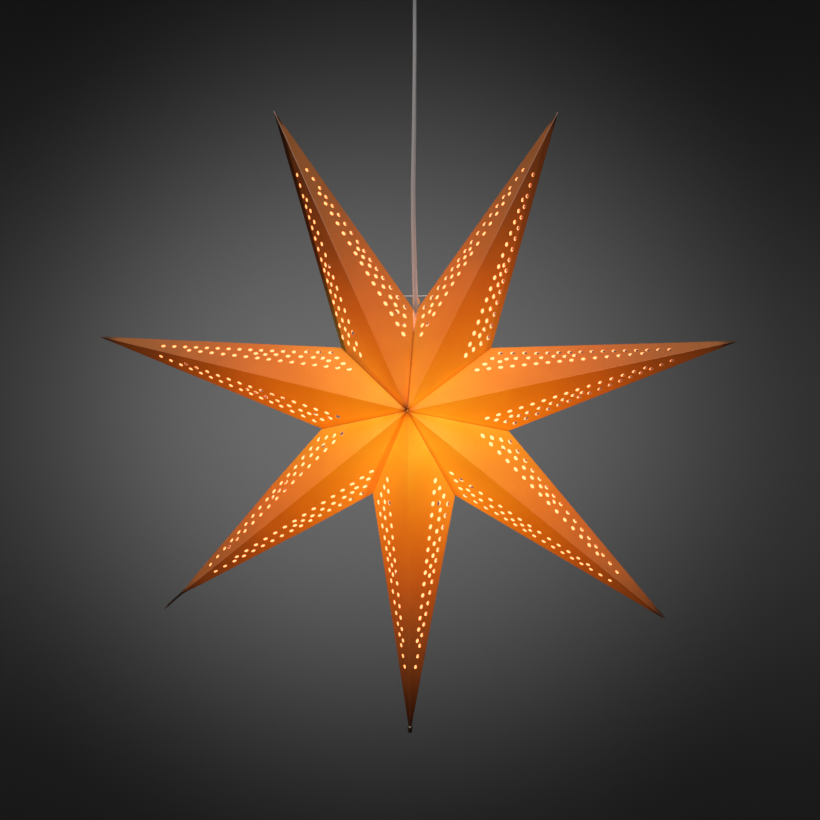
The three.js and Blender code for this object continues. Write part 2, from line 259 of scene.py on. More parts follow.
def plain(name, colour, rough, metal=0.0, grain=600.0, relief=0.15, vary=0.08, brushed=None):
    g = Graph(name)
    vector = g.stretched(brushed) if brushed else None
    fine = g.noise(grain, 4.0, 0.6, vector)
    broad = g.noise(grain / 14, 2.0)
    tone = g.math("ADD", g.varied(fine, 1 - vary, 1 + vary), g.varied(broad, -vary, vary))
    g.set(Base_Color=g.scaled(colour, tone), Metallic=metal)
    g.set(Roughness=g.varied(fine, rough * 0.85, rough * 1.15))
    g.bump(fine, relief, 0.00004)
    return g.material


def steel_wire_with_painted_glow():
    g = Graph("bright drawn steel wire")
    fine = g.noise(900, 3.0, 0.6, g.stretched((0.1, 1, 1)))
    shade = g.two_tone(fine, (0.66, 0.64, 0.62), (0.86, 0.84, 0.82))
    g.set(Base_Color=shade, Metallic=0.7, Roughness=g.varied(fine, 0.25, 0.35))
    # Painted light: the wire glows a little
    g.glow(shade, 0.3)
    g.bump(fine, 0.1, 0.00002)
    return g.material


def amber_plastic():
    g = Graph("amber clip plastic")
    fine = g.noise(700, 3.0)
    colour = g.two_tone(fine, (0.62, 0.24, 0.06), (0.85, 0.42, 0.13))
    g.set(Base_Color=colour, Roughness=0.35, IOR=1.49)
    # Painted light: the clip glows with half its own colour, standing for the star's light on it
    g.glow(g.scaled(colour, 0.5))
    g.bump(fine, 0.1, 0.00005)
    return g.material


def cord_plastic():
    g = Graph("off-white cord plastic")
    fine = g.noise(1400, 3.0, 0.6, g.stretched((1, 1, 0.12)))
    # Painted shade in the groove between the cores
    groove_shade = g.span(g.attribute("groove_shade"), 0.0, 1.0, 0.8, 1.0, True)
    shade = g.scaled((0.88, 0.88, 0.87), g.times(groove_shade, g.varied(fine, 0.95, 1.05), g.attribute("shade")))
    g.set(Base_Color=shade, Roughness=0.4, IOR=1.5)
    # Painted light: the cord glows a little, standing for the star's light on it
    g.glow(shade, 0.14)
    g.bump(fine, 0.2, 0.00003)
    return g.material


def frosted_glass():
    g = Graph("frosted bulb glass")
    fine = g.noise(2200, 2.0)
    stops = [(0.0, (0.55, 0.30, 0.10)), (0.5, (1.0, 0.72, 0.34)), (1.0, (1.0, 0.9, 0.62))]
    g.set(Base_Color=(0.9, 0.86, 0.78, 1), Roughness=g.varied(fine, 0.3, 0.42))
    g.glow(g.ramp(g.attribute("glow"), stops), 1.6)
    g.bump(fine, 0.15, 0.00002)
    return g.material


def clear_glass():
    g = Graph("clear stem glass")
    fine = g.noise(900, 2.0)
    g.set(Base_Color=(0.93, 0.95, 0.95, 1), Roughness=g.varied(fine, 0.02, 0.06))
    g.set(Transmission_Weight=0.9, IOR=1.5)
    g.bump(fine, 0.04, 0.00002)
    return g.material


# Paper, lit from behind. The glow attribute is the green share of the light that comes through,
# and the d_ attributes are distances in millimetres to the creases and the outline

GLOW = [
    (0.0, (0.0, 0.0, 0.0)), (0.052, (0.11, 0.020, 0.0020)), (0.10, (0.24, 0.040, 0.0022)),
    (0.16, (0.40, 0.065, 0.0026)), (0.262, (0.56, 0.108, 0.0020)), (0.393, (0.69, 0.165, 0.0030)),
    (0.571, (0.79, 0.242, 0.0060)), (0.786, (0.84, 0.335, 0.0120)), (1.0, (0.90, 0.445, 0.0260)),
]
INSIDE_GLOW = [
    (0.0, (0.02, 0.01, 0.004)), (0.012, (1.0, 0.60, 0.22)), (0.08, (1.05, 0.64, 0.31)),
    (0.4, (1.1, 0.70, 0.37)), (1.0, (1.15, 0.76, 0.42)),
]
RIM_GLOW = [(0.0, (0.02, 0.006, 0.001)), (0.6, (0.5, 0.16, 0.02)), (1.0, (0.9, 0.42, 0.08))]
PAPER_COLOUR = (0.80, 0.305, 0.094)


def fibres(g):
    """Fine speckle, short fibres and cloudy formation of the sheet."""
    speckle = g.noise(1500, 3.0, 0.65)
    strands = g.noise(420, 5.0, 0.7, g.stretched((1, 0.5, 2.2)))
    clouds = g.noise(38, 3.0, 0.55)
    return speckle, strands, clouds


def paper_outside():
    g = Graph("orange paper lit from inside")
    speckle, strands, clouds = fibres(g)
    fine = g.times(g.varied(speckle, 0.97, 1.03), g.varied(strands, 0.97, 1.03))
    formation = g.times(fine, g.varied(clouds, 0.95, 1.05))
    seam = g.attribute("d_seam")
    # Painted shade: a dark line along each seam, in the glow and in the paper's colour
    line = g.math("SUBTRACT", 1.0, g.times(g.span(seam, 0.3, 1.3, 0.48, 0.0, True), g.attribute("line")))
    band = g.span(g.math("DIVIDE", seam, g.attribute("band_width")), 0.4, 1.1, 0.0, 1.0, True)
    flap = g.kept_back(band, g.attribute("band"))
    # The hem keeps back glow and also darkens the paper's colour near the outline, as painted shade
    hem = g.kept_back(g.span(g.attribute("d_outline"), 6.4, 8.2, 0.0, 1.0, True), g.attribute("hem"))
    ridge = g.span(g.attribute("d_ridge"), 0.1, 0.75, 1.0, 0.0, True)
    # Painted shade: darker right along the outline's fold
    edge = g.span(g.attribute("d_outline"), 0.1, 0.8, 0.8, 1.0, True)
    # Painted shade: the faces' points leave a dark speck where they meet, and a fainter shade up and to the
    # left
    apex_gap = g.distance(FRONT_APEX + Vector((-0.6, 0, 0.6)))
    apex_speck_shade = g.span(apex_gap, 0.0008, 0.0040, 0.06, 1.0, True)
    lee = g.span(g.distance(FRONT_APEX + Vector((-2.8, 0, 3.2))), 0.0012, 0.0072, 0.74, 1.0, True)
    halo = g.span(apex_gap, 0.002, 0.011, 0.55, 1.0, True)
    dark = g.times(line, edge, apex_speck_shade, lee)
    # Pale line along the ridges: partly wear of the fold, partly a painted highlight where light from above
    # grazes it; it lightens the base colour and adds a little glow
    ridge_wear_and_highlight = g.times(ridge, g.attribute("ridge_wear_and_highlight"))
    cover = g.times(g.span(hem, 0, 1, 0.3, 1), dark, formation, g.attribute("tone"))
    colour = g.ramp(g.times(g.attribute("glow"), flap, hem, formation, halo), GLOW)
    # Painted light from the neighbouring faces: the glow loses some red near a seam
    neighbour_glow_shift = g.times(g.span(seam, 6, 62, 1.0, 0.0), g.attribute("neighbour_glow_shift"))
    colour = g.mix(neighbour_glow_shift, colour, (0, 1, 1), "MULTIPLY")
    lift = g.node("ShaderNodeVectorMath", operation="ADD")
    g.feed(lift.inputs[0], g.scaled((0, 1, 0.14), g.attribute("lift")))
    g.feed(lift.inputs[1], colour)
    emitted = g.scaled(lift.outputs[0], dark)
    g.set(
        Base_Color=g.mix(ridge_wear_and_highlight, g.scaled(PAPER_COLOUR, cover), (0.86, 0.66, 0.50)),
        Roughness=g.varied(speckle, 0.7, 0.82),
        Specular_IOR_Level=g.times(apex_speck_shade, 0.5),
    )
    g.glow(g.mix(g.times(ridge_wear_and_highlight, 0.6), emitted, (0.33, 0.19, 0.13)))
    g.bump(g.math("ADD", speckle, strands), 0.22, 0.00005)
    return g.material


def paper_inside():
    g = Graph("paper lit by the lamp")
    speckle, strands, clouds = fibres(g)
    formation = g.times(g.varied(speckle, 0.97, 1.03), g.varied(clouds, 0.97, 1.03))
    g.set(Base_Color=(*PAPER_COLOUR, 1), Roughness=0.8)
    g.glow(g.scaled(g.ramp(g.attribute("glow"), INSIDE_GLOW), formation))
    g.bump(g.math("ADD", speckle, strands), 0.2, 0.00005)
    return g.material


def paper_rim():
    g = Graph("cut edge of the paper")
    strands = fibres(g)[1]
    light = g.times(g.math("POWER", g.attribute("glow"), 0.6), g.varied(strands, 0.8, 1.1))
    g.set(Base_Color=(0.62, 0.27, 0.09, 1), Roughness=0.85)
    g.glow(g.ramp(light, RIM_GLOW))
    g.bump(strands, 0.3, 0.00008)
    return g.material


def shaded_fold_paper(glint):
    """Paper painted dark as shade, with a pale spot where the fold catches the light: partly wear, partly a
    painted, glowing highlight.
    """
    g = Graph("doubled dark paper")
    speckle, strands, _ = fibres(g)
    # Painted shade: the doubled paper is dark because it keeps back the lamp's light
    colour = g.two_tone(strands, (0.045, 0.018, 0.008), (0.10, 0.042, 0.018))
    # Painted highlight: a pale, glowing spot at the glint
    spot = g.span(g.distance(glint), 0.0005, 0.0016, 1.0, 0.0, True)
    g.set(Base_Color=g.mix(spot, colour, (0.8, 0.7, 0.55)), Roughness=g.varied(speckle, 0.45, 0.65))
    g.glow(g.mix(spot, (0, 0, 0), (0.30, 0.25, 0.18)))
    g.bump(g.math("ADD", speckle, strands), 0.35, 0.00008)
    return g.material


MATERIALS = {
    "white_plastic": plain("moulded white plastic", (0.80, 0.78, 0.73), 0.42, grain=900),
    "cord_plastic": cord_plastic(),
    "amber_plastic": amber_plastic(),
    "frosted_glass": frosted_glass(),
    "clear_glass": clear_glass(),
    "black_glass": plain("black glass", (0.02, 0.018, 0.018), 0.16, grain=700, relief=0.05),
    "brass": plain("rolled brass", (0.78, 0.56, 0.24), 0.3, 1.0, 500, vary=0.12, brushed=(1, 1, 0.15)),
    "steel": plain("zinc coated steel", (0.62, 0.63, 0.65), 0.36, 1.0, 420, vary=0.12, brushed=(0.12, 1, 1)),
    "tungsten": plain("drawn wire", (0.30, 0.29, 0.28), 0.4, 1.0, 1500),
}
PAPER_SIDES = [paper_outside(), paper_inside(), paper_rim()]

# Mesh helpers


def mesh_object(name, vertices, faces, materials, indices=None, sharp=35.0):
    """A mesh from vertices in millimetres, shaded smooth except over sharp edges."""
    mesh = bpy.data.meshes.new(name)
    mesh.from_pydata([tuple(Vector(v) * MM) for v in vertices], [], faces)
    for material in materials:
        mesh.materials.append(material)
    if indices is not None:
        mesh.polygons.foreach_set("material_index", indices)
    made = bpy.data.objects.new(name, mesh)
    bpy.context.scene.collection.objects.link(made)
    with editing(made) as bm:
        shaded(bm, sharp)
    mesh.validate()
    return made


@contextmanager
def editing(made):
    """The object's mesh opened for a change."""
    bm = bmesh.new()
    bm.from_mesh(made.data)
    yield bm
    bm.to_mesh(made.data)
    bm.free()


def shaded(bm, sharp):
    """Smooth shading, but for edges that are sharper than so many degrees."""
    for face in bm.faces:
        face.smooth = True
    for edge in bm.edges:
        edge.smooth = len(edge.link_faces) != 2 or edge.calc_face_angle(0) <= math.radians(sharp)


def attribute(made, name, values):
    data = made.data.attributes.new(name, "FLOAT", "POINT")
    data.data.foreach_set("value", np.asarray(values, np.float32))


def dress(made, node):
    """The piece stands for a CAD node and moves with that node's body."""
    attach(made, frame["nodes"][node]["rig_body"])
    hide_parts(node)
    return made


NEARLY_STRAIGHT = math.radians(160)


def filleted(profile, radius, steps=4):
    """A closed profile with its corners rounded. Corners on the axis stay."""
    out = []
    count = len(profile)
    for i, corner in enumerate(profile):
        p = Vector(corner)
        before, after = Vector(profile[i - 1]), Vector(profile[(i + 1) % count])
        a, b = before - p, after - p
        if p.x < 1e-6 or a.length < 1e-6 or b.length < 1e-6:
            out.append(tuple(p))
            continue
        angle = a.angle(b)
        if angle > NEARLY_STRAIGHT:
            out.append(tuple(p))
            continue
        reach = min(radius / math.tan(angle / 2), a.length * 0.45, b.length * 0.45)
        start, end = p + a.normalized() * reach, p + b.normalized() * reach
        for j in range(steps + 1):
            t = j / steps
            out.append(tuple(start.lerp(p, t).lerp(p.lerp(end, t), t)))
    return out


def turned(name, profile, material, at=LAMP, segments=72, warp=None, sharp=40.0, closed=True):
    """A solid of revolution about Z. warp(angle, r, z) gives a new radius, for ribs and threads."""
    vertices, rings = [], []
    for r, z in profile:
        if r < 1e-6:
            rings.append([len(vertices)])
            vertices.append(Vector((0, 0, z)) + at)
            continue
        ring = []
        for i in range(segments):
            angle = 2 * math.pi * i / segments
            radius = warp(angle, r, z) if warp else r
            ring.append(len(vertices))
            vertices.append(Vector((radius * math.cos(angle), radius * math.sin(angle), z)) + at)
        rings.append(ring)
    faces = []
    for low, high in zip(rings, rings[1:] + rings[:1] if closed else rings[1:]):
        if len(low) == 1 and len(high) == 1:
            continue
        for i in range(segments):
            j = (i + 1) % segments
            if len(low) == 1:
                faces.append((low[0], high[j], high[i]))
            elif len(high) == 1:
                faces.append((low[i], low[j], high[0]))
            else:
                faces.append((low[i], low[j], high[j], high[i]))
    made = mesh_object(name, vertices, faces, [material], sharp=sharp)
    outward(made)
    return made


def turned_piece(name, node, slot, profile, **options):
    return dress(turned(name, profile, MATERIALS[slot], **options), node)


def outward(made):
    with editing(made) as bm:
        bmesh.ops.recalc_face_normals(bm, faces=bm.faces)


def tube_faces(count, rings=2):
    """Faces of a body whose points lie in so many rings of count points each, with its two ends."""
    turns = [(j, (j + 1) % count) for j in range(count)]
    starts = [count * i for i in range(rings)]
    faces = [(a + j, a + k, a + count + k, a + count + j) for a in starts[:-1] for j, k in turns]
    return faces + [tuple(range(count))[::-1], tuple(starts[-1] + j for j in range(count))]


def triangle_area(points, triangle):
    a, b, c = (points[i] for i in triangle)
    return ((b - a).x * (c - a).y - (b - a).y * (c - a).x) / 2


def rim_edges(triangles):
    """Edges that only one triangle has, in that triangle's direction."""
    found = {(t[i], t[(i + 1) % 3]) for t in triangles for i in range(3)}
    return [e for e in found if (e[1], e[0]) not in found]


def sheet_faces(triangles, count):
    """Both sides of a sheet and its rim. The second side has its own count points after the first's."""
    faces = list(triangles) + [tuple(i + count for i in t[::-1]) for t in triangles]
    return faces + [(a + count, b + count, b, a) for a, b in rim_edges(triangles)]


def resampled(profile, length):
    """A closed profile with no side longer than length, for threads along it."""
    out = []
    for i, p in enumerate(profile):
        q = profile[(i + 1) % len(profile)]
        a, b = Vector(p), Vector(q)
        count = max(1, math.ceil((b - a).length / length))
        out += [tuple(a.lerp(b, j / count)) for j in range(count)]
    return out


def swept(name, points, section, material, twist=None, sharp=40.0):
    """A closed section, points in millimetres as (across, along Y), swept along points with square ends."""
    up = Vector((0, 1, 0))
    vertices = []
    count = len(points)
    for i, point in enumerate(points):
        ahead = points[min(i + 1, count - 1)] - points[max(i - 1, 0)]
        tangent = ahead.normalized()
        side = up.cross(tangent).normalized()
        other = tangent.cross(side)
        angle = twist(i / (count - 1)) if twist else 0.0
        a = side * math.cos(angle) + other * math.sin(angle)
        b = other * math.cos(angle) - side * math.sin(angle)
        vertices += [point + a * u + b * v for u, v in section]
    made = mesh_object(name, vertices, tube_faces(len(section), count), [material], sharp=sharp)
    outward(made)
    return made


ROUTE_STEPS = 24


def smooth_route(points, count):
    """Points spread evenly along a smooth curve through the given ones."""
    pts = [Vector(p) for p in points]
    fine = []
    for i in range(len(pts) - 1):
        p0, p1, p2, p3 = pts[max(i - 1, 0)], pts[i], pts[i + 1], pts[min(i + 2, len(pts) - 1)]
        for j in range(ROUTE_STEPS):
            t = j / ROUTE_STEPS
            straight = p1 * 2 + (p2 - p0) * t
            bent = (p0 * 2 - p1 * 5 + p2 * 4 - p3) * t * t
            fine.append((straight + bent + (p1 * 3 - p0 - p2 * 3 + p3) * t * t * t) * 0.5)
    fine.append(pts[-1])
    lengths = [0.0]
    for a, b in zip(fine, fine[1:]):
        lengths.append(lengths[-1] + (b - a).length)
    out, at = [], 0
    for i in range(count):
        goal = lengths[-1] * i / (count - 1)
        while at < len(fine) - 2 and lengths[at + 1] < goal:
            at += 1
        step = lengths[at + 1] - lengths[at]
        out.append(fine[at].lerp(fine[at + 1], (goal - lengths[at]) / step if step > 1e-9 else 0.0))
    return out, lengths[-1]


# The cord: two cores side by side, broadside at the star and turned edge-on further up

CORD_ROUTE = [
    (0, 54.5), (0, 75), (1.15, 90), (1.15, 101), (0.5, 118), (-0.5, 150), (-1.3, 190), (-1.4, 225),
    (-0.6, 280), (-0.25, 325), (0, DROP - 104), (0, DROP - 38), (0, DROP - 14.3),
]
CORD_TWIST = [(0.0, 0.0), (0.16, 0.05), (0.24, 0.6), (0.40, 0.85), (0.56, 1.05), (0.72, 1.35), (1.0, 1.5)]
# Half the arc that each core shows, with the groove between the cores in the rest, and its points
CORE_ARC = 0.62 * math.pi
CORE_POINTS = 12


def cord_turn(share):
    """Twist of the flat cord, in radians from broadside, along its length."""
    for (a, u), (b, v) in zip(CORD_TWIST, CORD_TWIST[1:]):
        if share <= b:
            t = (share - a) / (b - a)
            return u + (v - u) * t * t * (3 - 2 * t)
    return CORD_TWIST[-1][1]


def make_cord():
    route = [Vector((x, 0, z)) + CENTRE for x, z in CORD_ROUTE]
    points, _ = smooth_route(route, 150)
    core = CORD_THICKNESS / 2
    offset = (CORD_WIDTH - CORD_THICKNESS) / 2
    section, depth = [], []
    for side in (1, -1):
        for j in range(CORE_POINTS):
            angle = CORE_ARC * (2 * j / (CORE_POINTS - 1) - 1)
            section.append((side * (offset + core * math.cos(angle)), side * core * math.sin(angle)))
            depth.append(clamp((CORE_ARC - abs(angle)) / 0.7))
    made = swept("two_core_flat_cord", points, section, MATERIALS["cord_plastic"], cord_turn, 60.0)
    # Painted shade in the groove between the cores
    attribute(made, "groove_shade", depth * len(points))
    # The cord is darker down in the slit
    heights = [v.co.z / MM - CENTRE.z for v in made.data.vertices]
    attribute(made, "shade", [0.5 + 0.5 * clamp((h - 96.0) / 14.0) for h in heights])
    dress(made, "flat_cord")
    path, length = smooth_route(route, 36)
    path = [tuple(p * MM) for p in path]


make_cord()

# Paper faces

APEX_CUT = 0.03
TIP_CUT = 0.25
SLIT_LENGTH = 26.0
SLIT_CORNER = 4.4
SLIT_GAP = 0.06
CREASE_GAP = 0.02
HOLE_SIDES = 14
# Radius of a hole at the tip, and what it gains on the way to the valley
HOLE_RADII = (1.95, 0.75)
# Inner points of a sheet: their spacing, that of the rim's points, and how far the inner ones stay away from
# the creases, the slit's corner and the holes
GRID = 9.0
ROW_STEP = GRID * 0.866
EDGE_STEP = 6.0
CREASE_CLEAR, SLIT_CLEAR, HOLE_CLEAR = 2.6, 2.0, 1.8
# Sideways and upward shift of the back's holes against the front's, and how far the outermost hole of each
# spike lies inwards of its place in the common pattern
BACK_HOLE_SHIFT = [(0.4, 0.8), (1.2, 0.2), (1.6, -0.6), (1.8, -1.3), (1.2, 0.4), (1.4, -1.4), (0.4, 1.2)]
HOLE_SHIFT = [4.1, 1.6, 1.9, 3.6, 3.8, 2.8, 2.4]
WIRE_RISE = 16.3
WIRE_DEPTH = 3.6
WIRE_HOLE_RADIUS = 1.3
FIRST_ROW = 10.6
HOLES = (
    [(64.1 + 10.87 * i, FIRST_ROW) for i in range(13)]
    + [(206.5, 9.4), (218.4, 9.0), (230.4, 8.5)]
    + [(90.8 + 11.56 * i, 15.7 + 1.29 * i) for i in range(15)]
    + [(157.4, 16.2), (166.8, 17.2), (177.5, 16.5), (189.7, 18.1), (202.3, 17.7), (214.6, 17.8)]
    + [(223.8, 18.3), (230.5, 22.0), (237.8, 16.6), (245.3, 25.2)]
)

# Darker strips where a glue flap doubles the paper, by spike and half: share of the light kept back and width
FLAPS = {
    (0, 0): (0.40, 2.6), (0, 1): (0.52, 12.0), (1, 1): (0.26, 8.0), (2, 1): (0.46, 14.0), (4, 0): (0.34, 9.0),
    (5, 0): (0.12, 3.0), (6, 0): (0.16, 5.0), (6, 1): (0.25, 2.0),
}
# Share of the light kept back by a hem along the outline, which also darkens the paper's colour there as
# painted shade; how dark the painted shade line along each seam is; and how strong the wear and painted
# highlight along each ridge are
HEMS = {(0, 1): 0.86, (6, 0): 0.25}
SEAM_SHADE_LINES = [0.9, 1.0, 0.8, 0.35, 0.9, 0.8, 0.35]
RIDGE_WEAR_AND_HIGHLIGHT = [0.9, 0.1, 0.2, 0.06, 0.15, 0.15, 0.75]

# Slight unevenness of the real star: x and z shift of tips and valleys in millimetres
TIP_SHIFT = [(-2.6, 3.2), (-1.9, -3.4), (1.5, -1.0), (-2.1, -0.3), (-2.0, -4.0), (2.4, -2.4), (-0.9, 2.4)]
VALLEY_SHIFT = [(0, 0), (1.4, 0), (0.9, 0.2), (0.5, 1.4), (-0.5, 0.7), (0.2, 0.2), (0.8, 1.0), (0, 0)]

# Light of the lamp that reaches each spike, and how much faster than on the left one it fades outwards, per
# millimetre. The holder and the cord shade the two upper spikes
SPIKE_LIGHT = [
    (0.64, 0.0), (1.03, 0.0), (1.28, 0.001), (1.35, 0.0028), (1.34, 0.0002), (1.1, 0.0), (0.79, 0.0),
]
# The same for single faces that differ from their spike
FACE_LIGHT = {(0, 0): (0.608, 0.0), (0, 1): (0.75, 0.0022), (1, 0): (1.1, 0.0), (6, 1): (0.7505, 0.0)}
# Extra light, as a share, on faces near the middle
NEAR_HEART = {
    (0, 0): 0.2, (1, 0): 0.21, (1, 1): -0.2, (2, 0): 0.21, (3, 1): 0.24, (4, 0): -0.18, (4, 1): 0.2,
    (5, 0): -0.04, (5, 1): 0.14, (6, 0): 0.13, (6, 1): 0.17,
}
# Darkening of the faces towards the middle, as a share, and how far out it begins
USUAL_SHADE = (0.45, 41.0)
APEX_SHADE = {
    (0, 0): (0.8, 32.0), (0, 1): (0.42, 60.0), (1, 1): (0.35, 50.0), (2, 1): (0.5, 60.0),
    (3, 0): (0.52, 46.0), (3, 1): (0.6, 52.0), (4, 0): (0.42, 50.0), (4, 1): (0.5, 46.0),
    (5, 0): (0.35, 48.0), (6, 0): (0.0, 38.0), (6, 1): (0.0, 38.0),
}
# Light of the neighbours' faces next to a seam: share of the red left out of a face's own glow, since its
# neighbour adds it again, and the extra light in the hollow near the valley
NEIGHBOUR_GLOW_SHIFT = {(0, 0): 0.38, (0, 1): 0.28, (1, 0): 0.05, (1, 1): 0.12, (5, 0): 0.08, (6, 0): 0.28, (6, 1): 0.38}
HOLLOW_LIGHT = {
    (0, 1): 0.04, (1, 0): 0.045, (2, 0): 0.095, (2, 1): 0.03, (3, 0): 0.045, (3, 1): 0.055, (4, 0): 0.015,
    (4, 1): 0.085, (5, 1): 0.035, (6, 0): 0.015,
}
GLOW_CENTRE = CENTRE + Vector((3, 0, -13))
GLOW_PEAK = 0.295
# Steepness of the light's fall with distance, and with its square
GLOW_FALL = (0.0062, 1.2e-5)
# Extra light in the middle as a share, how far it reaches, and how far that of NEAR_HEART does
HEART_LIGHT = 0.16
HEART_REACH = 40.0
NEAR_HEART_REACH = 75.0
# Glow that the top of the GLOW colours stands for
GLOW_TOP = 0.42
# Where the light that comes through the paper ends at a tip, and over what length it does so
GLOW_END = {"lower_left": (298.0, 24.0), "bottom": (330.0, 75.0)}
USUAL_END = (TIP_RADIUS, 26.0)
# Where the paper's base colour darkens towards a tip, over what length, and what is left of it
USUAL_TONE = (306.0, 14.0, 0.45)
TIP_TONE = {
    "lower_left": (284.0, 15.0, 0.12), "bottom": (230.0, 70.0, 0.2), "lower_right": (262.0, 48.0, 0.24),
}
# The inside is dark from the outermost holes on: start and end of the change
INSIDE_DARK = (268.0, 282.0)
# Where the fold at a tip takes the light, and over what length
TIP_HEM = {"lower_left": 294.0}
USUAL_HEM = 308.0
HEM_LENGTH = 8.0
# Where the wear and the painted highlight along the ridges begin, and over what length they grow
RIDGE_WEAR_AND_HIGHLIGHT_START, RIDGE_WEAR_AND_HIGHLIGHT_LENGTH = 110.0, 130.0
# Height of a face's swell, as a factor of the product of its three corner shares
SWELL = 27.0


def towards(a, b):
    return (b - a).normalized()


def inward(start, end, third):
    edge = towards(start, end)
    normal = Vector((-edge.y, edge.x))
    return normal if normal.dot(third - start) > 0 else -normal


def clipped(points, origin, normal):
    out = []
    for i, p in enumerate(points):
        q = points[(i + 1) % len(points)]
        a, b = (p - origin).dot(normal), (q - origin).dot(normal)
        if a >= 0:
            out.append(p)
        if a * b < 0:
            out.append(p.lerp(q, a / (a - b)))
    return out


def fold_angle(start, end, first, second):
    edge = towards(start, end)
    arms = [(p - start) - edge * (p - start).dot(edge) for p in (first, second)]
    return arms[0].angle(arms[1])


RIDGE_LEAN = PAPER / 2 / math.tan(fold_angle(FRONT_APEX, TIPS[0], VALLEYS[0], VALLEYS[1]) / 2)
SEAM_LEAN = PAPER / 2 / math.tan(fold_angle(FRONT_APEX, VALLEYS[1], TIPS[0], TIPS[1]) / 2)
OUTLINE_LEAN = PAPER / 2 / math.tan(fold_angle(TIPS[0], VALLEYS[1], FRONT_APEX, BACK_APEX) / 2)


def lamp_glow(point, k, half):
    """Light that comes through the paper at a point of a face, on the scale of the GLOW colours."""
    away = point - GLOW_CENTRE
    spread = math.hypot(away.x, away.z)
    level, fade = FACE_LIGHT.get((k, half), SPIKE_LIGHT[k])
    reach = math.hypot(point.x - CENTRE.x, point.z - CENTRE.z)
    fall = GLOW_FALL[0] * spread + GLOW_FALL[1] * spread * spread + fade * reach
    value = GLOW_PEAK * level * math.exp(-fall)
    value *= 1 + HEART_LIGHT * math.exp(-((spread / HEART_REACH) ** 2))
    value *= 1 + NEAR_HEART.get((k, half), 0.0) * math.exp(-((spread / NEAR_HEART_REACH) ** 2))
    shade, begin = APEX_SHADE.get((k, half), USUAL_SHADE)
    gap = min((point - FRONT_APEX).length, (point - BACK_APEX).length)
    value *= 1 - shade * max(0.0, 1 - gap / begin)
    end, length = GLOW_END.get(SPIKE_NAMES[k], USUAL_END)
    return value * (0.1 + 0.9 * clamp((end - reach) / length)) / GLOW_TOP if reach < end else 0.0


# Width of the lower left spike against a straight one, by share of its length. Only its crushed tail is thin
# in depth too, and hangs down a little
CRUSHED_FROM = 0.86
PINCH = [
    (0.5, 1), (0.6, 0.96), (0.7, 0.91), (0.75, 0.87), (0.8, 0.81), (0.85, 0.71), (0.88, 0.59), (0.90, 0.43),
    (0.922, 0.26), (0.953, 0.36), (0.975, 0.65), (0.99, 1.1), (1.1, 1.2),
]


def pinched(point, k):
    if SPIKE_NAMES[k] != "lower_left":
        return point
    axis = towards(CENTRE, TIPS[k] + Vector((TIP_SHIFT[k][0], 0, TIP_SHIFT[k][1])))
    reach = (point - CENTRE).dot(axis)
    share = reach / TIP_RADIUS
    if share <= PINCH[0][0]:
        return point
    (a, v), (b, w) = next(pair for pair in zip(PINCH, PINCH[1:]) if share <= pair[1][0])
    width = v + (w - v) * (share - a) / (b - a)
    line = CENTRE + axis * reach
    end, length = GLOW_END["lower_left"]
    drop = Vector((0.15, 0, -1.0)) * (max(0.0, reach - end) / length) ** 2 * 2.0
    crushed = clamp((share - CRUSHED_FROM) / 0.06)
    return line + (point - line) * Vector((width, 1 - (1 - width) * crushed, width)) + drop


def wire_hole(x, y, tip):
    """Place on a face, in its own frame, where the hanging wire goes through."""
    det = x.y * y.z - x.z * y.y
    dy = WIRE_DEPTH - tip.y
    dz = VALLEY_RADIUS + WIRE_RISE - DROP - tip.z
    return Vector(((dy * y.z - dz * y.y) / det, (x.y * dz - x.z * dy) / det))


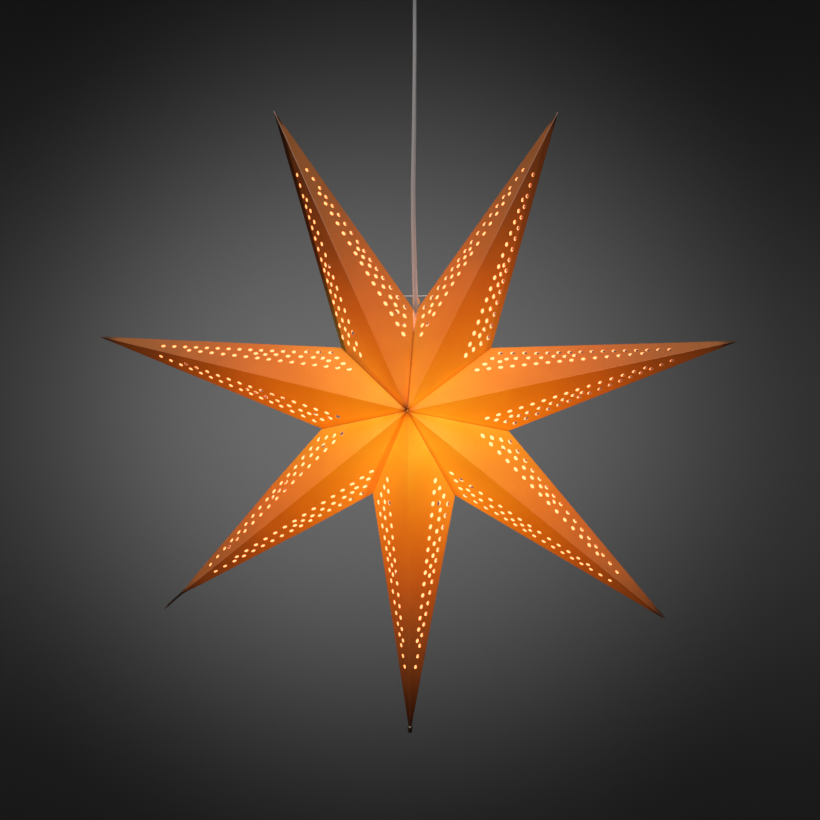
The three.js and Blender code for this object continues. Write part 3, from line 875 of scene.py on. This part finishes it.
def face_sheet(tip, valley, apex, trims, at_slit, extra_hole, offset, inwards):
    """Flat cut sheet of one face: its points, its triangles and its three creases."""
    outline = [tip, valley, apex]
    edges = {"outline": (tip, valley, apex), "ridge": (tip, apex, valley), "seam": (apex, valley, tip)}
    for key, (start, end, third) in edges.items():
        normal = inward(start, end, third)
        outline = clipped(outline, start + normal * trims[key], normal)
    for corner, one, two, length in ((apex, tip, valley, APEX_CUT), (tip, apex, valley, TIP_CUT)):
        normal = (towards(corner, one) + towards(corner, two)).normalized()
        outline = clipped(outline, corner + normal * length, normal)
    if at_slit:
        on_seam = valley + towards(valley, apex) * SLIT_LENGTH
        on_outline = valley + towards(valley, tip) * SLIT_CORNER
        outline = clipped(outline, on_seam, inward(on_seam, on_outline, tip))
    points = []
    for i, p in enumerate(outline):
        q = outline[(i + 1) % len(outline)]
        count = max(1, math.ceil((q - p).length / EDGE_STEP))
        points += [p.lerp(q, j / count) for j in range(count)]
    rim_count = len(points)
    constraints = [(i, (i + 1) % rim_count) for i in range(rim_count)]
    holes = []
    for along, across in HOLES:
        along += inwards * (1 - along / valley.x)
        radius = HOLE_RADII[0] + HOLE_RADII[1] * along / valley.x
        holes.append((Vector((along, across)) + offset * (across / FIRST_ROW), radius, HOLE_SIDES))
    if extra_hole is not None:
        holes.append((extra_hole, WIRE_HOLE_RADIUS, 10))
    for centre, radius, sides in holes:
        first = len(points)
        points += [centre + p for p in circle(radius, sides)]
        constraints += [(first + j, first + (j + 1) % sides) for j in range(sides)]
    normals = [(start, inward(start, end, third)) for start, end, third in edges.values()]
    for row in range(int(apex.y / ROW_STEP) + 1):
        y = (row + 0.5) * ROW_STEP
        for column in range(int(apex.x / GRID) + 1):
            p = Vector(((column + 0.5 * (row % 2)) * GRID, y))
            if min((p - start).dot(normal) for start, normal in normals) < CREASE_CLEAR:
                continue
            if at_slit and (p - on_seam).dot(inward(on_seam, on_outline, tip)) < SLIT_CLEAR:
                continue
            if min((p - centre).length - radius for centre, radius, _ in holes) < HOLE_CLEAR:
                continue
            points.append(p)
    found = geometry.delaunay_2d_cdt(points, constraints, [], 0, 1e-5, False)
    flat, triangles = found[0], found[2]
    kept = []
    for triangle in triangles:
        middle = (flat[triangle[0]] + flat[triangle[1]] + flat[triangle[2]]) / 3
        if abs(triangle_area(flat, triangle)) < 0.01:
            continue
        if min((middle - centre).length - radius * 0.93 for centre, radius, _ in holes) > 0:
            kept.append(tuple(triangle))
    return flat, kept, edges


def tone_at(reach, k):
    """The paper's base colour darkens towards the tips."""
    start, length, least = TIP_TONE.get(SPIKE_NAMES[k], USUAL_TONE)
    return 1 - (1 - least) * clamp((reach - start) / length)


def face_frame(tip, valley, apex):
    """Axes in the plane of a face at its tip, the one that points out of the star, and the face's corners."""
    x = towards(tip, valley)
    arm = apex - tip
    y = (arm - x * arm.dot(x)).normalized()
    out = x.cross(y)
    if out.y * apex.y < 0:
        out.negate()
    return x, y, out, [Vector((0, 0)), Vector(((valley - tip).length, 0)), Vector((arm.dot(x), arm.dot(y)))]


def make_face(k, half, side):
    node = f"{SPIKE_NAMES[k]}_spike_{side}_face_{half + 1}"
    seam = k + half
    at_slit = seam in (0, SPIKES)
    tip, valley = TIPS[k], VALLEYS[seam]
    apex = FRONT_APEX if side == "front" else BACK_APEX
    x, y, out, corners = face_frame(tip, valley, apex)
    trims = {"outline": CREASE_GAP, "ridge": CREASE_GAP, "seam": SLIT_GAP if at_slit else CREASE_GAP}
    extra = wire_hole(x, y, tip) if side == "back" and at_slit else None
    offset = Vector((0, 0))
    if side == "back":
        sideways = Vector((BACK_HOLE_SHIFT[k][0], 0, BACK_HOLE_SHIFT[k][1]))
        offset = Vector((sideways.dot(x), max(-1.5, min(1.5, sideways.dot(y)))))
    flat, triangles, edges = face_sheet(*corners, trims, at_slit, extra, offset, HOLE_SHIFT[k])
    if triangle_area(flat, triangles[0]) * (1 if x.cross(y).dot(out) > 0 else -1) < 0:
        triangles = [t[::-1] for t in triangles]
    lines = {key: (start, inward(start, end, third)) for key, (start, end, third) in edges.items()}
    lean = {"ridge": RIDGE_LEAN, "outline": OUTLINE_LEAN, "seam": -SEAM_LEAN}
    area = triangle_area(corners, (0, 1, 2))
    uneven = 0.8 + 0.5 * noise.noise(tip * 0.013 + apex * 0.01)
    skins, glow = ([], []), []
    columns = {key: [] for key in ("lift", "neighbour_glow_shift", "d_outline", "d_ridge", "d_seam")}
    for p in flat:
        gaps = {key: (p - start).dot(normal) for key, (start, normal) in lines.items()}
        pairs = ((1, 2), (2, 0), (0, 1))
        share = [triangle_area([p, corners[i], corners[j]], (0, 1, 2)) / area for i, j in pairs]
        swell = SWELL * max(0.0, share[0] * share[1] * share[2]) * uneven
        shift = Vector((share[0] * TIP_SHIFT[k][0] + share[1] * VALLEY_SHIFT[seam][0], 0, 0))
        shift.z = share[0] * TIP_SHIFT[k][1] + share[1] * VALLEY_SHIFT[seam][1]
        for skin, sign in zip(skins, (1, -1)):
            q = p.copy()
            for key, gap in gaps.items():
                if gap < trims[key] + 1e-3:
                    q -= lines[key][1] * (lean[key] * sign)
            place = tip + x * q.x + y * q.y + out * (sign * PAPER / 2 + swell)
            skin.append(pinched(place + shift, k))
        glow.append(lamp_glow(tip + x * p.x + y * p.y, k, half))
        hollow = clamp((share[1] - 0.1) / 0.6) * clamp(1.1 - share[0] / 0.33)
        columns["lift"].append(HOLLOW_LIGHT.get((k, half), 0.0) * hollow)
        columns["neighbour_glow_shift"].append(NEIGHBOUR_GLOW_SHIFT.get((k, half), 0.0) * min(1.1, 0.12 + 1.4 * max(0.0, share[1])))
        for key in ("outline", "ridge", "seam"):
            columns["d_" + key].append(gaps[key])
    count = len(flat)
    faces = sheet_faces(triangles, count)
    indices = [0] * len(triangles) + [1] * len(triangles) + [2] * (len(faces) - 2 * len(triangles))
    made = mesh_object(f"{node}_paper", skins[0] + skins[1], faces, PAPER_SIDES, indices, 50.0)
    reaches = [math.hypot(v.x, v.z + DROP) for v in skins[0] + skins[1]]
    begin, end = INSIDE_DARK
    dimmed = [value * clamp((end - r) / (end - begin)) for value, r in zip(glow, reaches[count:])]
    attribute(made, "glow", glow + dimmed)
    for key, values in columns.items():
        attribute(made, key, values * 2)
    band, width = FLAPS.get((k, half), (0.0, 4.0))
    height = corners[2].y
    widths = [max(1.5, width * (0.35 + 0.65 * min(1.0, abs(p.y - height) / height))) for p in flat]
    attribute(made, "band", [band] * (2 * count))
    attribute(made, "line", [SEAM_SHADE_LINES[seam % SPIKES]] * (2 * count))
    attribute(made, "band_width", widths * 2)
    hem = HEMS.get((k, half), 0.0)
    dark_from = TIP_HEM.get(SPIKE_NAMES[k], USUAL_HEM)
    attribute(made, "hem", [max(hem, min(0.85, (r - dark_from) / HEM_LENGTH)) for r in reaches])
    attribute(made, "tone", [tone_at(r, k) for r in reaches])
    attribute(made, "ridge_wear_and_highlight", [RIDGE_WEAR_AND_HIGHLIGHT[k] * clamp((r - RIDGE_WEAR_AND_HIGHLIGHT_START) / RIDGE_WEAR_AND_HIGHLIGHT_LENGTH) for r in reaches])
    dress(made, node)


for spike in range(SPIKES):
    for half in (0, 1):
        for side in ("front", "back"):
            make_face(spike, half, side)

# Doubled paper at the bottom tip, painted dark as shade, with a painted highlight


def make_tip_patches():
    k = SPIKE_NAMES.index("bottom")
    glint = TIPS[k] + Vector((TIP_SHIFT[k][0], -1.4, TIP_SHIFT[k][1] + 6.2))
    shaded_tip_paper = shaded_fold_paper(glint)
    thickness = 0.4
    for half in (0, 1):
        x, y, out, corners = face_frame(TIPS[k], VALLEYS[k + half], FRONT_APEX)
        along = (towards(corners[0], corners[1]) + towards(corners[0], corners[2])).normalized()
        across = Vector((along.y, -along.x))
        spread = math.tan(math.atan2(corners[2].y, corners[2].x) / 2)
        ridge = [along * u - across * (u * spread - 0.08) for u in (0.2, 3.0, 6.6)]
        overlaps = ((6.9, 1.0), (3.0, 1.1), (-0.1, 0.75))
        outer = [along * u + across * (max(u * spread, 1.0) + w) for u, w in overlaps]
        rounded = filleted([tuple(p + Vector((20, 20))) for p in ridge + outer], 0.3, 3)
        rounded = [Vector(p) - Vector((20, 20)) for p in rounded]
        low = PAPER / 2 + 0.12
        place = TIPS[k] + Vector((TIP_SHIFT[k][0], 0, TIP_SHIFT[k][1])) * 0.98
        creased = [low + thickness + 0.10 * math.sin(p.x * 1.9) * min(1.0, p.length / 3) for p in rounded]
        heights = [low] * len(rounded) + creased
        vertices = [place + x * p.x + y * p.y + out * h for p, h in zip(rounded * 2, heights)]
        made = mesh_object(f"bottom_tip_fold_{half + 1}", vertices, tube_faces(len(rounded)), [shaded_tip_paper])
        outward(made)
        dress(made, f"bottom_tip_patch_{half + 1}")


make_tip_patches()

# Lampholder, heights above the lamp's own origin

HOLDER_RADIUS = 14.0
WALL = 1.6
CORD_HOLE = 3.2


def fluted(angle, r, z):
    """Shallow flutes round the holder's skirt between two heights."""
    count, depth, low, high, ends = 24, 0.5, 28, 50, 1.2
    if r < HOLDER_RADIUS - 0.4 or not low < z < high:
        return r
    ease = min(1.0, (z - low) / ends, (high - z) / ends)
    return r - depth * ease * (0.5 - 0.5 * math.cos(angle * count))


def rolled_thread(angle, r, z):
    """The round thread of the socket and the bulb's shell."""
    pitch, depth = 2.8, 0.35
    return r - depth * (0.5 - 0.5 * math.cos(2 * math.pi * z / pitch + angle))


THREADED = {"warp": rolled_thread, "sharp": 60}


def make_lampholder():
    inner = HOLDER_RADIUS - WALL
    skirt = [(inner, 24), (HOLDER_RADIUS, 24), (HOLDER_RADIUS, 56)]
    skirt += [(CORD_HOLE, 56), (CORD_HOLE, 54), (inner, 54)]
    skirt = resampled(filleted(skirt, 0.6), 2.0)
    options = {"warp": fluted, "segments": 192}
    turned_piece("lampholder_skirt_fluted", "lampholder_skirt", "white_plastic", skirt, **options)
    cap = [
        (inner, 56.3), (HOLDER_RADIUS, 56.3), (HOLDER_RADIUS, 63), (6.8, 72), (CORD_HOLE, 72),
        (CORD_HOLE, 70.4), (5.2, 70.4), (inner, 61.4),
    ]
    cap = filleted(cap, 1.2, 5)
    turned_piece("lampholder_cap_rounded", "lampholder_cap", "white_plastic", cap, segments=96)
    insert = [(CORD_HOLE, 44.3), (inner - 0.3, 44.3), (inner - 0.3, 53.7), (CORD_HOLE, 53.7)]
    turned_piece("lampholder_insert_moulded", "lampholder_insert", "white_plastic", filleted(insert, 0.5))
    sleeve = resampled([(7.3, 27), (7.8, 27), (7.8, 44), (7.3, 44)], 0.35)
    turned_piece("threaded_sleeve", "threaded_socket_sleeve", "brass", sleeve, **THREADED)
    tab = [(0, 43.7), (CORD_HOLE - 0.3, 43.7), (CORD_HOLE - 0.3, 44.3), (0, 44.3)]
    turned_piece("centre_contact_tab", "centre_contact", "brass", filleted(tab, 0.15, 3), segments=48)
    side_strip()
    bush = [
        (CORD_HOLE, 72.3), (5.2, 72.3), (5.2, 73.6), (4.6, 74.1), (5.0, 74.7), (5.0, 75.7), (4.4, 76.2),
        (4.8, 76.8), (4.8, 77.8), (4.2, 78.3), (4.4, 80), (CORD_HOLE, 80),
    ]
    bush = filleted(bush, 0.25, 3)
    turned_piece("cord_grip_bush", "lampholder_cord_bush", "white_plastic", bush, segments=64)


def side_strip():
    """Side contact: a thin springy strip with a bent foot."""
    x, thickness, half = 8.35, 0.4, 1.5
    profile = [(0.0, 35.6), (0.12, 36.4), (0.0, 38.2), (-0.05, 41.0), (0.0, 43.9)]
    vertices = []
    for dx, z in profile:
        for sx, sy in ((-1, -1), (1, -1), (1, 1), (-1, 1)):
            vertices.append(LAMP + Vector((x + dx + sx * thickness / 2, sy * half, z)))
    made = mesh_object("side_contact_strip", vertices, tube_faces(4, len(profile)), [MATERIALS["brass"]])
    bevelled(made, 0.08, 2)
    outward(made)
    dress(made, "side_contact")


def bevelled(made, width, segments=3, limit=30.0):
    """Rounds the sharp edges of a mesh for good."""
    with editing(made) as bm:
        sharp = [e for e in bm.edges if len(e.link_faces) == 2 and e.calc_face_angle(0) > math.radians(limit)]
        sizes = {"offset": width * MM, "segments": segments, "profile": 0.5}
        bmesh.ops.bevel(bm, geom=sharp, affect="EDGES", clamp_overlap=True, **sizes)
        bmesh.ops.remove_doubles(bm, verts=bm.verts, dist=1e-6)
        shaded(bm, 40)


make_lampholder()

# Bulb

BULB_RADIUS = 22.5
BULB_CENTRE = -10.0


def make_bulb():
    neck, neck_radius, glass = 24.0, 6.4, 0.8
    shoulder = math.pi / 4
    top = BULB_CENTRE + BULB_RADIUS * math.sin(shoulder)

    def arc(radius, a, b, steps):
        return [
            (max(0.0, radius * math.cos(t)), BULB_CENTRE + radius * math.sin(t))
            for t in (a + (b - a) * i / steps for i in range(steps + 1))
        ]

    bend = neck_radius + 3 * glass
    mid = (neck + top) / 2
    side = [arc(BULB_RADIUS, 0, shoulder, 1)[-1], (bend + 1.1, mid - 1.2), (bend - 0.6, mid + 1.6)]
    side = smooth_profile(side + [(neck_radius, neck)], 10)
    inside = [(r - glass, z - (0.3 if z < mid else 0)) for r, z in side]
    inside[-1] = (neck_radius - glass, neck)
    profile = arc(BULB_RADIUS, -math.pi / 2, shoulder, 28)[:-1] + side
    profile += inside[::-1] + arc(BULB_RADIUS - glass, shoulder, -math.pi / 2, 28)[1:]
    made = turned_piece("frosted_globe", "bulb_glass", "frosted_glass", profile, segments=80, sharp=60)
    heights = [v.co.z / MM - LAMP.z for v in made.data.vertices]
    attribute(made, "glow", [clamp((22.0 - z) / 22.0) for z in heights])
    shell = resampled([(6.45, 24.3), (6.9, 24.3), (6.9, 40), (6.45, 40)], 0.35)
    turned_piece("screw_shell_thread", "bulb_screw_shell", "brass", shell, **THREADED)
    cone = [(0, 40.3), (6.1, 40.3), (5.6, 40.9), (3.45, 41.8), (0, 41.8)]
    turned_piece("base_insulator", "bulb_insulator", "black_glass", filleted(cone, 0.2, 3), segments=56)
    dot = [(0, 42.1), (2.3, 42.1), (2.2, 42.7), (1.4, 43.2), (0, 43.3)]
    turned_piece("solder_dot", "bulb_tip_contact", "steel", filleted(dot, 0.2, 3), segments=40)
    flare, stem_radius, low = 5.3, 2.13, 1.25
    stem = [(stem_radius, low + 1.0), (stem_radius, 12), (2.3, 18), (3.4, 21.5), (flare, neck)]
    stem = [(0, low), (1.5, low + 0.15)] + smooth_profile(stem, 8) + [(0, neck)]
    turned_piece("glass_stem", "bulb_stem", "clear_glass", stem, segments=40)
    make_filament()


def smooth_profile(points, steps):
    pts, _ = smooth_route([Vector((r, 0, z)) for r, z in points], steps * (len(points) - 1) + 1)
    return [(p.x, p.z) for p in pts]


def make_filament():
    """Two leads up from the stem, and a fine coil in an arch between them."""
    lead, low, spread = 1.07, 0.95, 7.5
    rise = [(lead, low), (spread * 0.75, BULB_CENTRE + 6.8), (spread, BULB_CENTRE + spread / 2)]
    rise.append((spread * 0.88, BULB_CENTRE + 0.8))
    points = [Vector((-x, 0, z)) for x, z in rise]
    turns, radius = 22, 0.32
    arch = []
    for i in range(turns * 10 + 1):
        t = i / (turns * 10)
        x = -spread * 0.8 + 1.6 * spread * t
        z = BULB_CENTRE - 0.4 * abs(2 * t - 1)
        angle = t * turns * 2 * math.pi
        arch.append(Vector((x, radius * math.sin(angle), z + radius * math.cos(angle))))
    ends = [Vector((x, 0, z)) for x, z in rise[::-1]]
    left, _ = smooth_route(points + [arch[0]], 26)
    right, _ = smooth_route([arch[-1]] + ends, 26)
    route = [p + LAMP for p in left + arch[1:-1] + right]
    made = swept("coiled_filament", route, circle(0.14, 6), MATERIALS["tungsten"], sharp=70)
    dress(made, "bulb_filament_and_leads")


make_bulb()

# Hanging wire and its clip


def make_wire():
    half = [(19.4, 0.1, 0), (17, 0.1, 0), (8, 0.05, -0.1)]
    route = [(-x, y, z) for x, y, z in half] + [(0, 0, -0.15)] + half[::-1]
    start = CENTRE + Vector((0, WIRE_DEPTH - 0.1, VALLEY_RADIUS + WIRE_RISE))
    points, _ = smooth_route([Vector(p) + start for p in route], 48)
    dress(swept("steel_hanging_wire", points, circle(0.45, 12), steel_wire_with_painted_glow()), "hanging_wire")


def make_clip():
    z = VALLEY_RADIUS + WIRE_RISE
    low, shoulder, high, half, reach = z - 8.7, z - 1.9, z + 1.3, 2.2, 5.2
    outline = [(-half, low), (reach - 0.6, low), (reach, low + 2.4), (reach - 1.0, shoulder)]
    outline += [(half, shoulder), (half, high), (-half, high)]
    outline = filleted([(x + 10, y) for x, y in outline], 0.7, 4)
    front, back = 1.8, 2.85
    vertices = [CENTRE + Vector((x - 10, depth, y)) for depth in (front, back) for x, y in outline]
    made = mesh_object("cord_clip_moulded", vertices, tube_faces(len(outline)), [MATERIALS["amber_plastic"]])
    outward(made)
    bevelled(made, 0.18, 2, 60)
    dress(made, "cord_clip")


make_wire()
make_clip()

# Ceiling fitting

CUP_RADIUS = 33.0


def make_ceiling():
    make_strap()
    make_terminals()
    cup = [(31.4, -0.5), (31.4, -7), (25.9, -20), (8.5, -29.4), (5.3, -29.4)]
    cup += [(5.3, -31), (8.5, -31), (27.5, -20), (33, -7), (33, -0.5)]
    cup = filleted(cup, 3.5, 6)
    turned_piece("ceiling_cup_smooth", "ceiling_cup", "white_plastic", cup, at=Vector(), segments=128)
    bush = [(2.85, -38), (4.6, -38), (5.0, -37.2), (8, -34.6), (8, -31.3), (5, -31.3), (5, -26), (2.85, -26)]
    bush = filleted(bush, 0.5, 4)
    turned_piece("cup_bush_rounded", "cup_cord_bush", "white_plastic", bush, at=Vector(), segments=64)


def make_strap():
    width, thickness, spacing, hole, sides = 16.0, 2.0, 40.0, 2.2, 32
    y = width / 2
    x = math.sqrt((CUP_RADIUS - WALL - 2.3) ** 2 - y * y)
    corners = filleted([(a + 100, b) for a, b in ((-x, -y), (x, -y), (x, y), (-x, y))], 2.5, 6)
    points = [Vector((a - 100, b)) for a, b in corners]
    constraints = [(i, (i + 1) % len(points)) for i in range(len(points))]
    centres = [Vector((s * spacing / 2, 0)) for s in (-1, 1)]
    for centre in centres:
        first = len(points)
        points += [centre + p for p in circle(hole, sides)]
        constraints += [(first + i, first + (i + 1) % sides) for i in range(sides)]
    found = geometry.delaunay_2d_cdt(points, constraints, [], 0, 1e-6, False)
    flat = found[0]
    triangles = []
    for a, b, c in found[2]:
        middle = (flat[a] + flat[b] + flat[c]) / 3
        if min((middle - centre).length for centre in centres) > hole * 0.97:
            triangles.append((a, b, c))
    if triangle_area(flat, triangles[0]) < 0:
        triangles = [t[::-1] for t in triangles]
    vertices = [Vector((p.x, p.y, z)) for z in (0, -thickness) for p in flat]
    faces = sheet_faces(triangles, len(flat))
    made = mesh_object("ceiling_strap_pressed", vertices, faces, [MATERIALS["steel"]])
    outward(made)
    bevelled(made, 0.25, 2, 60)
    dress(made, "ceiling_strap")


def make_terminals():
    x, y, low, high = 8.0, 4.5, -14.0, -2.3
    vertices = [(a, b, z) for a in (-x, x) for b in (-y, y) for z in (low, high)]
    faces = [(0, 1, 3, 2), (4, 6, 7, 5), (0, 4, 5, 1), (2, 3, 7, 6), (0, 2, 6, 4), (1, 5, 7, 3)]
    made = mesh_object("terminal_block_moulded", vertices, faces, [MATERIALS["white_plastic"]])
    outward(made)
    bevelled(made, 0.9, 4)
    dress(made, "terminal_block")
    for i, s in enumerate((-1, 1)):
        centre = Vector((s * x / 2, -y - 0.3, (low + high) / 2))
        screw = slotted_screw(f"slotted_screw_{i + 1}", centre, 1.6, 1.4, 0.35 + 0.9 * i)
        dress(screw, f"terminal_screw_{i + 1}")


def slotted_screw(name, centre, radius, height, turn):
    """A screw head facing -Y with a straight slot."""
    slot, deep, steps = 0.28, 0.7, 9
    start = math.asin(slot / radius)
    outline = []
    for s in (1, -1):
        for j in range(steps + 1):
            a = start + (math.pi - 2 * start) * j / steps
            outline.append((radius * math.cos(a) * s, radius * math.sin(a) * s))
    vertices, faces = [], []
    c, d = math.cos(turn), math.sin(turn)
    for y in (0, height - deep, height):
        vertices += [centre + Vector((u * c - v * d, -y, u * d + v * c)) for u, v in outline]
    half, count = steps + 1, len(outline)
    base, floor, top = (list(range(n * count, (n + 1) * count)) for n in range(3))
    faces.append(tuple(base))
    for i in range(count):
        j = (i + 1) % count
        faces.append((base[i], base[j], floor[j], floor[i]))
        if i % half != half - 1:
            faces.append((floor[i], floor[j], top[j], top[i]))
    for s in (0, 1):
        ring = [s * half + j for j in range(half)]
        faces.append(tuple(top[i] for i in ring))
        faces.append((floor[ring[-1]], floor[ring[0]], top[ring[0]], top[ring[-1]]))
    faces.append((floor[0], floor[half - 1], floor[half], floor[2 * half - 1]))
    made = mesh_object(name, vertices, faces, [MATERIALS["brass"]])
    outward(made)
    return made


make_ceiling()

# Stage: pale floor that curves up into a backdrop, soft light from above and pools of light on the wall

FLOOR = -5200.0
WALL_DISTANCE = 6500.0


def make_stage():
    bend, height = 2200.0, 6500.0
    profile = [(0.0, FLOOR), (1500.0, FLOOR), (3000.0, FLOOR)]
    profile += [
        (WALL_DISTANCE - bend + bend * math.sin(a), FLOOR + bend - bend * math.cos(a))
        for a in (math.pi / 2 * i / 24 for i in range(25))
    ]
    profile += [(WALL_DISTANCE, FLOOR + bend + 1500.0), (WALL_DISTANCE, height)]
    made = turned("studio_floor", profile, stage_paint(), at=Vector(), segments=96, closed=False)
    with editing(made) as bm:
        away = [f for f in bm.faces if f.normal.dot(f.calc_center_median() - Vector((0, 0, 1))) > 0]
        bmesh.ops.reverse_faces(bm, faces=away)


def stage_paint():
    g = Graph("pale studio paint")
    broad = g.noise(0.6, 3.0)
    g.set(Base_Color=g.two_tone(broad, (0.61, 0.61, 0.61), (0.65, 0.65, 0.65)), Roughness=0.95)
    g.bump(g.noise(9.0, 4.0), 0.1, 0.002)
    return g.material


def placed_light(data, place, target):
    made = bpy.data.objects.new(data.name, data)
    made.location = place
    made.rotation_mode = "QUATERNION"
    made.rotation_quaternion = (Vector(target) - Vector(place)).to_track_quat("-Z", "Y")
    made.visible_camera = False
    bpy.context.scene.collection.objects.link(made)


def area_light(name, place, target, size, power, spread):
    data = bpy.data.lights.new(name, "AREA")
    data.shape = "DISK"
    data.size = size
    data.energy = power
    data.spread = math.radians(spread)
    placed_light(data, place, target)


def wall_light(name, azimuth, side, rise, power):
    """A soft pool of light on the wall behind the star, seen from an azimuth."""
    data = bpy.data.lights.new(name, "SPOT")
    data.energy = power
    data.spot_size = math.radians(106)
    data.spot_blend = 1.0
    data.shadow_soft_size = 0.02
    a = math.radians(azimuth)
    back = Vector((-math.sin(a), math.cos(a), 0))
    across = Vector((math.cos(a), math.sin(a), 0))
    wall = (CENTRE + back * WALL_DISTANCE) * MM + across * side + Vector((0, 0, rise))
    placed_light(data, wall - back * 1.5, wall)


def make_lights():
    star = CENTRE * MM
    area_light("soft top light", star + Vector((0, -1.6, 3.65)), star, 2.2, 5.6, 60)
    for i in range(8):
        azimuth = CAMERA["azimuth"] if i == 0 else 45 * i
        wall_light(f"wall light {i + 1}", azimuth, -0.12, -0.21, 18.6 if i == 0 else 11.0)
    wall_light("left wall light", CAMERA["azimuth"], -1.5, -0.25, 2.1)
    wall_light("right wall light", CAMERA["azimuth"], 1.35, -0.3, 2.3)
    world = bpy.data.worlds.new("studio air")
    world.use_nodes = True
    background = world.node_tree.nodes["Background"]
    background.inputs["Color"].default_value = (0.003, 0.003, 0.0032, 1)
    background.inputs["Strength"].default_value = 1.0
    bpy.context.scene.world = world


make_stage()
make_lights()
bpy.context.scene.view_settings.view_transform = "Standard"
bpy.context.scene.view_settings.look = "None"
